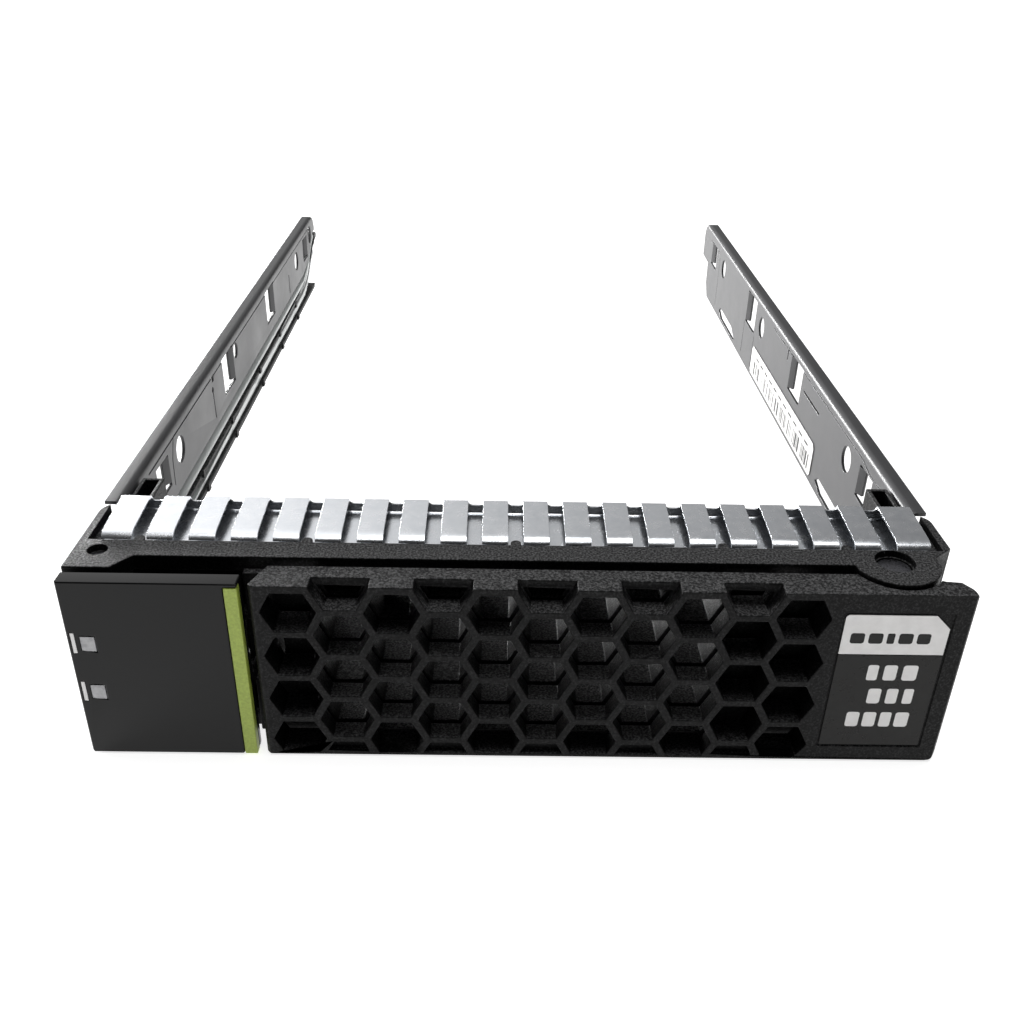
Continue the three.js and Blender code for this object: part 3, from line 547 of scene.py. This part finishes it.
INK = 0.012      # thickness of the print
LABEL_LINE = [(39.3, 41.0), (41.5, 43.2), (43.7, 44.6), (45.1, 46.8), (47.3, 48.9)]
for number, (left, right) in enumerate(LABEL_LINE):
    plate(f"label_line_{number}", block(left, right, 18.6, 20.1), INK, on_front("white_label"),
          "lever", "label_black")
LABEL_ROWS = [
    (13.1, 15.4, [(42.3, 43.6), (44.3, 45.9), (46.6, 48.4)]),
    (9.5, 11.8, [(43.0, 44.6), (45.3, 46.7), (47.4, 48.6)]),
    (5.8, 8.1, [(41.0, 42.6), (43.1, 44.7), (45.2, 46.6), (47.1, 48.8)]),
]
for row, (low, high, bars) in enumerate(LABEL_ROWS):
    for number, (left, right) in enumerate(bars):
        plate(f"label_row_{row}_{number}", block(left, right, low, high), INK, on_front("black_label"),
              "lever", "label_white")


def print_bars():
    """Plain stripes of uneven width along the rail's label, with a dashed line above them."""
    place = 60.6
    number = 0
    while place < 104.5:
        width = random.choice((0.3, 0.3, 0.55, 0.9))
        plate(f"bar_{number}", block(place, place + width, 10.9, 13.7), INK,
              on_right_rail("barcode_label"), "carrier", "label_black")
        place += width + random.choice((0.35, 0.6, 0.9, 1.5))
        number += 1
    for number in range(11):
        start = 62.0 + 3.9 * number
        plate(f"dash_{number}", block(start, start + 2.3, 14.55, 14.95), INK,
              on_right_rail("barcode_label"), "carrier", "label_black")


print_bars()


# ---------------------------------------------------------------- floor and light
def make_floor():
    mesh = bpy.data.meshes.new("floor")
    half = 12.0
    mesh.from_pydata(
        [(-half, -half, 0), (half, -half, 0), (half, half, 0), (-half, half, 0)], [], [(0, 1, 2, 3)])
    floor = bpy.data.objects.new("floor", mesh)
    floor.location.z = cad_box[0].z - 0.02 * MM
    bpy.context.scene.collection.objects.link(floor)
    n = Nodes("floor_white")
    n.principled((0.80, 0.80, 0.80), 0.7, specular=0.2)
    n.bsdf.inputs["Emission Color"].default_value = (1.0, 1.0, 1.0, 1.0)
    n.bsdf.inputs["Emission Strength"].default_value = 0.78
    mesh.materials.append(n.material)
    floor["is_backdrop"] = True


def make_light(name, place, aim, size, power):
    light = bpy.data.objects.new(name, bpy.data.lights.new(name, "AREA"))
    light.data.shape = "RECTANGLE"
    light.data.size, light.data.size_y = size
    light.data.energy = power
    light.location = place
    light.rotation_euler = (Vector(aim) - Vector(place)).to_track_quat("-Z", "Y").to_euler()
    bpy.context.scene.collection.objects.link(light)


GLOW = 1.35                     # brightness of the soft light behind the carrier, at its left end
GLOW_STOPS = ((0.15, 1.0), (0.5, 0.40), (0.95, 0.15))    # its fall from left to right
GLOW_SPREAD = 0.6               # sideways reach, as a slope from straight behind
GLOW_RISE = (0.12, 0.34)        # heights of the direction between which it comes up
GLOW_REAR = (0.0, 0.25)         # and how far to the rear it begins
DARK = 0.04                     # the rest of the studio


def make_world():
    """A dark studio with one wide soft light behind the carrier, strongest at the left."""
    world = bpy.data.worlds.new("studio")
    world.use_nodes = True
    tree = world.node_tree
    background = tree.nodes["Background"]

    def add(kind, **settings):
        node = tree.nodes.new(kind)
        for key, value in settings.items():
            setattr(node, key, value)
        return node

    def between(source, low, high):
        spread = add("ShaderNodeMapRange", interpolation_type="SMOOTHSTEP")
        spread.inputs["From Min"].default_value = low
        spread.inputs["From Max"].default_value = high
        tree.links.new(source, spread.inputs["Value"])
        return spread.outputs["Result"]

    def times(first, second):
        product = add("ShaderNodeMath", operation="MULTIPLY")
        for socket, value in zip(product.inputs, (first, second)):
            if isinstance(value, float):
                socket.default_value = value
            else:
                tree.links.new(value, socket)
        return product.outputs[0]

    place = add("ShaderNodeTexCoord")
    axes = add("ShaderNodeSeparateXYZ")
    tree.links.new(place.outputs["Generated"], axes.inputs[0])
    rear = add("ShaderNodeMath", operation="MAXIMUM")
    rear.inputs[1].default_value = 0.05
    tree.links.new(axes.outputs["Y"], rear.inputs[0])
    side = add("ShaderNodeMath", operation="DIVIDE")
    tree.links.new(axes.outputs["X"], side.inputs[0])
    tree.links.new(rear.outputs[0], side.inputs[1])
    across = add("ShaderNodeMapRange")
    across.inputs["From Min"].default_value = -GLOW_SPREAD
    across.inputs["From Max"].default_value = GLOW_SPREAD
    tree.links.new(side.outputs[0], across.inputs["Value"])
    fall = add("ShaderNodeValToRGB")
    tree.links.new(across.outputs["Result"], fall.inputs["Fac"])
    left, middle, right = GLOW_STOPS
    stops = fall.color_ramp.elements
    stops[0].position, stops[0].color = left[0], (left[1], left[1], left[1], 1.0)
    stops[1].position, stops[1].color = right[0], (right[1], right[1], right[1], 1.0)
    stops.new(middle[0]).color = (middle[1], middle[1], middle[1], 1.0)

    shape = times(between(axes.outputs["Z"], *GLOW_RISE), between(axes.outputs["Y"], *GLOW_REAR))
    glow = times(times(shape, fall.outputs["Color"]), GLOW)
    total = add("ShaderNodeMath", operation="ADD")
    total.inputs[1].default_value = DARK
    tree.links.new(glow, total.inputs[0])
    tree.links.new(total.outputs[0], background.inputs["Strength"])
    background.inputs["Color"].default_value = (1.0, 1.0, 1.0, 1.0)
    bpy.context.scene.world = world


make_floor()
make_world()
make_light("softbox_low_left", (-0.9, 0.9, 0.14), (0.05, 0.0, 0.01), (1.0, 0.22), 30.0)
make_light("softbox_top", (0.05, -0.1, 0.9), (0.0, -0.02, 0.0), (0.6, 0.4), 3.0)
bpy.context.scene.view_settings.view_transform = "Standard"

low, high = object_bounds()
